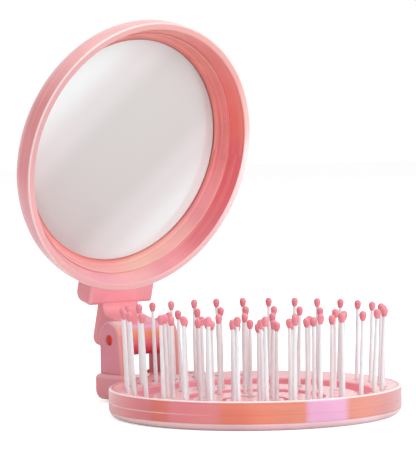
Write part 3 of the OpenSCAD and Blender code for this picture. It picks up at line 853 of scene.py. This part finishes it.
@dataclass
class HingeYoke:
    """Two ears on a web that is trapped in the foot, and the pin between them."""

    hinge: Hinge = Hinge()
    inner_x: float = 6.8
    thickness: float = 4.2
    radius: float = 4.65
    crown: float = 0.85
    lean: float = 1.6
    web_low: float = 1.9
    web_high: float = 5.1
    edge: float = 0.8
    bore: float = 1.56

    def front_y(self) -> float:
        """Returns where the leaning front of both ears ends below."""
        return self.hinge.y - self.radius - self.lean

    def ear_spans(self, grow: float = 0.0) -> list[tuple[float, float]]:
        """Returns the low and high X of each ear."""
        outer = self.inner_x + self.thickness + grow
        inner = self.inner_x - grow
        return [(-outer, -inner), (inner, outer)]

    def ear_outline(self, grow: float = 0.0) -> np.ndarray:
        """Returns an ear's side view, counter-clockwise as [y, z]: a round end over a leaning front."""
        radius, low = self.radius + grow, self.web_high - 1
        end = arc((self.hinge.y, self.hinge.z + self.crown), radius, 0, 180, 40)
        feet = np.array([(self.front_y() - grow, low), (self.hinge.y + radius, low)])
        return np.concatenate([end, feet])

    def build(self, finishes: Finishes) -> list[Object]:
        """Builds the yoke and dresses it."""
        # The inner faces take the red end of the yoke's ramp, a painted shade between the ears.
        inside = 0.99
        ears = [
            extruded(self.ear_outline(), low, high, self.edge, caps_u=(0, inside) if high < 0 else (inside, 0))
            for low, high in self.ear_spans()
        ]
        front, back, outer = self.front_y(), self.hinge.y + self.radius, self.inner_x + self.thickness
        web = rounded(
            [(front, self.web_low, 0.3), (back, self.web_low, 0.3), (back, self.web_high, 0.3),
             (front, self.web_high, 0.3)],
            closed=True,
        )
        yoke = piece_from("yoke_ears", joined(ears + [extruded(web, -outer, outer, 0.25)]))
        cut(yoke, self.bore_cutter())
        return [enter(yoke, finishes.yoke, Body.BASE, "hinge_yoke")]

    def bore_cutter(self) -> Patch:
        """Returns the cutter of both bores, flared where they open."""
        outer = self.inner_x + self.thickness
        flare = 0.12
        profile = np.array(
            [(0, -outer - 1), (self.bore + flare + 1, -outer - 1), (self.bore, -outer + flare),
             (self.bore, outer - flare), (self.bore + flare + 1, outer + 1), (0, outer + 1)]
        )
        return revolved(profile, 64).moved(turned_along_x(self.hinge.y, self.hinge.z))


@dataclass
class PinField:
    """The rows of nylon pins with their ball tips."""

    # Each row: radius, count, first angle, underside, face, reach above the face, splay.
    rows: tuple[PinRow, ...] = (
        PinRow("outer", 35.0, 30, 6.0, 5.0, 6.84, 21.5, 1.9),
        PinRow("middle", 23.9, 20, 0.0, 3.5, 4.93, 21.8, 1.3),
        PinRow("inner", 15.0, 12, 0.0, 2.6, 4.03, 21.4, 0.81),
        PinRow("centre", 6.3, 6, 0.0, 2.6, 3.75, 20.5, 0.34),
    )
    shaft: float = 0.62
    shaft_top: float = 0.46
    ball: float = 0.95
    crown: float = 0.98
    neck: float = 0.5
    neck_length: float = 1.65
    strip: float = 3.0
    strip_t: float = 0.8
    wander: float = 0.22
    wander_most: float = 0.45
    stations: int = 9
    shaft_sides: int = 14
    tip_sides: int = 24
    seed: int = 7

    def centrelines(self, row: PinRow) -> np.ndarray:
        """Returns each pin's centreline, pins by stations by 3.

        A pin leans outwards by its row's angle. A small sideways lean grows with
        the square of the height, as in a moulded pin that has bent in use.
        """
        rng = np.random.default_rng(self.seed + row.count)
        angles = row.angles()
        outwards = np.stack([np.cos(angles), np.sin(angles), 0 * angles], axis=1)
        foot = outwards * row.radius + np.array([0, 0, row.under_z])
        length = row.face_z - row.under_z + row.reach
        splay = math.radians(row.splay_deg)
        along = outwards * math.sin(splay) + np.array([0, 0, math.cos(splay)])
        lean = np.clip(rng.normal(0, self.wander, (row.count, 2)), -self.wander_most, self.wander_most)
        t = np.linspace(0, 1, self.stations)
        line = foot[:, None] + along[:, None] * (t * length)[None, :, None]
        line[..., :2] += lean[:, None, :] * (t**2)[None, :, None]
        return line

    def frames(self, line: np.ndarray) -> tuple[np.ndarray, np.ndarray, np.ndarray]:
        """Returns two cross directions and the tangent at each point of each centreline."""
        tangent = np.gradient(line, axis=1)
        tangent /= np.linalg.norm(tangent, axis=2, keepdims=True)
        side = np.cross(tangent, np.array([0.0, 1.0, 0.0]))
        side /= np.linalg.norm(side, axis=2, keepdims=True)
        return side, np.cross(tangent, side), tangent

    def tubes(self, centres: np.ndarray, side: np.ndarray, other: np.ndarray, radii: np.ndarray, sides: int) -> Patch:
        """Carries a circle of changing radius along every centreline and closes both ends."""
        angles = np.linspace(0, 2 * math.pi, sides, endpoint=False)
        ring = (
            side[:, :, None] * np.cos(angles)[None, None, :, None]
            + other[:, :, None] * np.sin(angles)[None, None, :, None]
        )
        points = centres[:, :, None] + ring * radii[None, :, None, None]
        return joined([grid_patch(pin, np.zeros(len(radii))) for pin in points])

    def build_row(self, row: PinRow, finishes: Finishes) -> list[Object]:
        """Builds one row's shafts on their strip, and its ball tips."""
        line = self.centrelines(row)
        side, other, tangent = self.frames(line)
        closed = np.concatenate([line[:, :1], line, line[:, -1:]], axis=1)
        ends = [np.concatenate([part[:, :1], part, part[:, -1:]], axis=1) for part in (side, other)]
        radii = np.concatenate([[0.0], np.linspace(self.shaft, self.shaft_top, line.shape[1]), [0.0]])
        shafts = self.tubes(closed, ends[0], ends[1], radii, self.shaft_sides)
        half = self.strip / 2
        inner, outer, low, high = row.radius - half, row.radius + half, row.under_z - self.strip_t, row.under_z
        ring = np.array([(inner, low), (outer, low), (outer, high), (inner, high)])
        strip = piece_from(f"{row.name}_pins", joined([shafts, revolved(ring, 120, closed=True)]))
        tips = piece_from(f"{row.name}_tips", self.tip_patch(line, side, other, tangent))
        return [
            enter(strip, finishes.nylon, Body.BASE, f"{row.name}_pin_strip"),
            enter(tips, finishes.ball, Body.BASE, f"{row.name}_ball_tips"),
        ]

    def tip_patch(self, line: np.ndarray, side: np.ndarray, other: np.ndarray, tangent: np.ndarray) -> Patch:
        """Returns the ball tips: eggs that narrow to the shaft below.

        The radius is that of one ellipse above the ball's middle and of a longer
        one below it, which is cut off where it is as narrow as the neck.
        """
        over = np.radians(np.linspace(90, 0, 9))
        top = np.stack([self.ball * np.cos(over), self.crown * np.sin(over)], axis=1)
        t = np.linspace(0, 1, 9)[1:]
        reach = math.sqrt(1 - (self.neck / self.ball) ** 2)
        drawn = np.stack([self.ball * np.sqrt(1 - (reach * t) ** 2), -self.neck_length * t], axis=1)
        profile = np.concatenate([top, drawn, [(0.0, -self.neck_length)]])[::-1]
        centres = line[:, -1:, :] + tangent[:, -1:, :] * profile[None, :, 1:2]
        ones = np.ones((1, len(profile), 1))
        return self.tubes(centres, side[:, -1:] * ones, other[:, -1:] * ones, profile[:, 0], self.tip_sides)


@dataclass
class MirrorHalf:
    """The round mirror half: shell, lug, arm, bezel and glass, drawn face up."""

    hinge: Hinge = Hinge()
    radius: float = 40.0
    thickness: float = 12.2
    back_edge: float = 9.0
    lip: float = 2.0
    bezel_top: float = -4.8
    glass_z: float = -9.3
    glass_t: float = 1.5
    view_r: float = 33.1
    bezel_r: float = 36.0
    lug_half: float = 11.6
    lug_out: float = 4.2
    lug_step: float = 0.35
    lug_depth: float = 7.8
    lug_root: float = 1.8
    lug_edge: float = 0.9
    arm_half: float = 6.55
    arm_r: float = 4.85
    arm_heel: float = 5.2
    arm_back: float = 3.25
    arm_bore: float = 1.6
    arm_edge: float = 0.5
    heel_r: float = 2.3
    root_r: float = 3.0
    root_back_r: float = 1.0
    segments: int = 360

    def shell_patch(self) -> Patch:
        """Returns the shell: rounded back, wall, lip and the stepped recess."""
        seat_r, seat_z = self.view_r + 0.65, self.glass_z - 1.7
        corners = [
            (0, -self.thickness, 0), (self.radius, -self.thickness, self.back_edge), (self.radius, 0, 0.6),
            (self.radius - self.lip, 0, 0.5), (self.bezel_r + 0.3, self.bezel_top, 0.1),
            (self.bezel_r + 0.1, self.bezel_top, 0.05), (self.bezel_r + 0.1, self.glass_z, 0),
            (seat_r, self.glass_z, 0), (seat_r, seat_z, 0), (0, seat_z, 0),
        ]
        profile = refined(rounded(corners, closed=False, count=14), 1.2)
        inner_lip = self.radius - self.lip
        # The lip and the outer edge get painted highlights, the edge a whiter line; the recess walls take the deep
        # ramp, painted shade and light.
        lip = (profile[:, 1] > -0.55) & (profile[:, 0] > inner_lip - 0.1)
        walls = (profile[:, 0] < inner_lip + 0.2) & (profile[:, 1] > self.glass_z - 1)
        edge = (profile[:, 1] > -0.4) & (profile[:, 0] > self.radius - 0.4)
        return revolved(profile, self.segments, depth=np.where(edge, -1.5, np.where(lip, -1.0, walls)))

    def bezel_patch(self) -> Patch:
        """Returns the bezel: a thin cone above a chamfer, with a painted shade line at its foot on the glass."""
        z = self.glass_z
        corners = [
            (self.view_r, z, 0), (self.bezel_r, z, 0), (self.bezel_r, self.bezel_top, 0.1),
            (self.bezel_r - 0.35, self.bezel_top, 0.15), (self.view_r + 1.7, z + 0.8, 0.3),
            (self.view_r + 0.45, z + 0.45, 0.1), (self.view_r, z + 0.35, 0.08),
        ]
        profile = rounded(corners, closed=True)
        depth = np.clip((self.view_r + 0.6 - profile[:, 0]) / 0.3, 0, 1)
        return revolved(profile, self.segments, closed=True, depth=depth)

    def lug_outline(self) -> np.ndarray:
        """Returns the lug's side view, counter-clockwise as [y, z]."""
        low, deep, inside = -self.radius - self.lug_out, -self.lug_depth, 4 - self.radius
        return rounded(
            [(low, -self.lug_step, 1.1), (low, deep, 2.8), (inside, deep, 0), (inside, -self.lug_step, 0)],
            closed=True, count=10,
        )

    def arm_outline(self) -> np.ndarray:
        """Returns the arm's side view, counter-clockwise as [y, z].

        A round end about the axis and a round heel share the line that touches
        both. From the heel the back runs to the lug, and a hollow fillet joins
        the front to the lug.
        """
        end = np.array([-self.hinge.y, self.hinge.rise])
        heel = np.array([self.heel_r - self.arm_heel - self.hinge.y, self.heel_r - self.arm_back])
        way = heel - end
        touch = math.atan2(way[1], way[0]) - math.acos((self.arm_r - self.heel_r) / float(np.linalg.norm(way)))
        turn = math.degrees(touch) + 360
        lug_y, front_y = -self.radius - self.lug_out, end[0] + self.arm_r
        root_z = math.sqrt(self.root_r**2 - (self.root_r + front_y - lug_y) ** 2) - self.lug_step
        back_z = -self.arm_back - self.root_back_r
        return np.concatenate([
            arc(tuple(heel), self.heel_r, turn, 270, 12),
            arc((lug_y - self.root_back_r, back_z), self.root_back_r, 90, 0, 8),
            np.array([(lug_y + 2.5, back_z), (lug_y + 2.5, -self.lug_step - 1.2)]),
            arc((front_y + self.root_r, root_z), self.root_r, 262, 180, 14),
            arc(tuple(end), self.arm_r, 0, turn, 40),
        ])

    def build(self, finishes: Finishes) -> list[Object]:
        """Builds and dresses the mirror half."""
        place = self.hinge.lid_place()
        shell, lug, arm, bezel, glass = (
            piece_from(name, patch.moved(place))
            for name, patch in (
                ("mirror_shell", self.shell_patch()),
                ("mirror_lug", extruded(self.lug_outline(), -self.lug_half, self.lug_half, self.lug_edge)),
                ("mirror_arm", extruded(self.arm_outline(), -self.arm_half, self.arm_half, self.arm_edge)),
                ("glass_bezel", self.bezel_patch()),
                ("glass_disc", self.glass_patch()),
            )
        )
        cut(lug, drum(self.radius - self.lug_root, -20, 9, CUTTER_SEGMENTS).moved(place))
        cut(arm, self.bore_cutter().moved(place))
        return [
            enter(shell, finishes.lid, Body.LID, "lid_shell"),
            enter(lug, finishes.block, Body.LID, "lid_shell"),
            enter(arm, finishes.arm, Body.LID, "lid_shell"),
            enter(bezel, finishes.bezel, Body.LID, "mirror_bezel"),
            enter(glass, finishes.mirror, Body.LID, "mirror_glass"),
        ]

    def bore_cutter(self) -> Patch:
        """Returns the cutter of the arm's bore."""
        reach = self.arm_half + 1
        return drum(self.arm_bore, -reach, reach, 64).moved(turned_along_x(-self.hinge.y, self.hinge.rise))

    def glass_patch(self) -> Patch:
        """Returns the glass: a disc with seamed edges."""
        radius, top = self.view_r + 0.5, self.glass_z
        corners = [(0, top - self.glass_t, 0), (radius, top - self.glass_t, 0.2), (radius, top, 0.2), (0, top, 0)]
        return revolved(refined(rounded(corners, closed=False), 4), 240)


# ---------- studio ----------


@dataclass(frozen=True)
class Softbox:
    """One soft lamp, aimed at the object's middle."""

    name: str
    place: tuple[float, float, float]
    size: tuple[float, float]
    watts: float


@dataclass
class Studio:
    """Camera, floor, world and lamps."""

    focal_px: float = 2241.0
    frame_px: tuple[int, int] = (416, 451)
    azimuth: float = -39.771
    elevation: float = 2.029
    roll: float = -0.853
    distance: float = 625.84
    aim: tuple[float, float, float] = (0.0, 19.036, 51.064)
    lamp_target: tuple[float, float, float] = (0.0, 0.02, 0.04)
    sky_light: float = 0.46
    floor_seen: float = 0.575
    floor_mirrored: float = 0.1
    boxes: tuple[Softbox, ...] = (
        Softbox("front", (0.3, -1.5, 0.75), (1.2, 1.0), 16),
        Softbox("top", (0.1, 0.3, 1.7), (1.2, 1.2), 15),
        Softbox("left", (-1.4, -0.5, 0.6), (0.8, 0.8), 1.5),
    )

    def add_camera(self) -> None:
        """Places the camera from its angles: back is away from the aim, right is level before the roll."""
        az, el, roll = (math.radians(v) for v in (self.azimuth, self.elevation, self.roll))
        back = np.array([math.sin(az) * math.cos(el), -math.cos(az) * math.cos(el), math.sin(el)])
        right = np.array([math.cos(az), math.sin(az), 0.0])
        up = np.cross(back, right)
        right_rolled = right * math.cos(roll) + up * math.sin(roll)
        up_rolled = up * math.cos(roll) - right * math.sin(roll)
        place = np.array(self.aim) + back * self.distance
        camera = bpy.data.cameras.new("camera")
        camera.sensor_fit, camera.sensor_height = "VERTICAL", 36.0
        camera.lens = self.focal_px / self.frame_px[1] * camera.sensor_height
        camera.clip_start, camera.clip_end = 0.01, 20
        holder = bpy.data.objects.new("camera", camera)
        turn = Matrix(np.stack([right_rolled, up_rolled, back], axis=1).tolist())
        holder.matrix_world = Matrix.Translation(Vector(place * MM)) @ turn.to_4x4()
        bpy.context.scene.collection.objects.link(holder)
        bpy.context.scene.camera = holder

    def add_floor(self) -> None:
        """Lays a plain pale floor that shows white to the camera and keeps the shadow."""
        mesh = bpy.data.meshes.new("floor")
        half = 6.0
        mesh.from_pydata([(-half, -half, 0), (half, -half, 0), (half, half, 0), (-half, half, 0)], [], [(0, 1, 2, 3)])
        floor = bpy.data.objects.new("floor", mesh)
        bpy.context.scene.collection.objects.link(floor)
        sockets = (
            ("Base Color", (0.88, 0.88, 0.88, 1)), ("Roughness", 0.8), ("Specular IOR Level", 0.0),
            ("Emission Color", (1, 1, 1, 1)),
        )
        material, g, shader = Finish("pale_floor", sockets=sockets).start()
        paths = g.add("LightPath")
        seen = g.math("MULTIPLY", paths.outputs["Is Camera Ray"], self.floor_seen)
        mirrored = g.math("MULTIPLY", paths.outputs["Is Glossy Ray"], self.floor_mirrored)
        g.link(g.math("ADD", seen, mirrored), shader.inputs["Emission Strength"])
        mesh.materials.append(material)

    def add_world(self) -> None:
        """Lights the scene evenly and shows white to the camera and to glossy rays."""
        world = bpy.data.worlds.new("studio")
        bpy.context.scene.world = world
        world.use_nodes = True
        world.node_tree.nodes.clear()
        g = Graph(world.node_tree)
        paths, pick, out = (g.add(kind) for kind in ("LightPath", "MixShader", "OutputWorld"))
        seen = g.math("MAXIMUM", paths.outputs["Is Camera Ray"], paths.outputs["Is Transmission Ray"])
        seen = g.math("MAXIMUM", seen, paths.outputs["Is Glossy Ray"])
        g.link(seen, pick.inputs[0])
        for strength, socket in zip((self.sky_light, 1.0), pick.inputs[1:]):
            g.link(g.add("Background", {"Color": (1, 1, 1), "Strength": strength}).outputs[0], socket)
        g.link(pick.outputs[0], out.inputs["Surface"])

    def add_lamps(self) -> None:
        """Hangs the soft lamps."""
        target = Vector(self.lamp_target)
        for box in self.boxes:
            lamp = bpy.data.lights.new(box.name, "AREA")
            lamp.shape, lamp.size, lamp.size_y = "RECTANGLE", *box.size
            lamp.energy = box.watts
            holder = bpy.data.objects.new(box.name, lamp)
            holder.location = box.place
            holder.rotation_euler = (target - Vector(box.place)).to_track_quat("-Z", "Y").to_euler()
            bpy.context.scene.collection.objects.link(holder)

    def build(self) -> None:
        """Sets the stage."""
        bpy.context.scene.view_settings.view_transform = "Standard"
        self.add_camera()
        self.add_floor()
        self.add_world()
        self.add_lamps()


def main() -> None:
    """Loads the frame, builds and dresses every piece and sets the stage."""
    logging.basicConfig(level=logging.INFO, format="%(name)s: %(message)s")
    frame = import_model()
    Studio().build()
    finishes = Finishes()
    hinge = Hinge()
    pins = PinField()
    pieces = BrushHalf(hinge=hinge).build(finishes, pins.rows)
    for row in pins.rows:
        pieces += pins.build_row(row, finishes)
    pieces += HingeYoke(hinge).build(finishes)
    pieces += MirrorHalf(hinge).build(finishes)
    kept = {"hinge_pin": finishes.hinge_pin, "pin_backing": finishes.nylon, "mirror_pad": finishes.pad}
    for node, material in kept.items():
        dress(frame["nodes"][node], material)
    for piece in pieces:
        LOG.info("%s: %d faces", piece.name, len(piece.data.polygons))


if __name__ == "__main__":
    main()
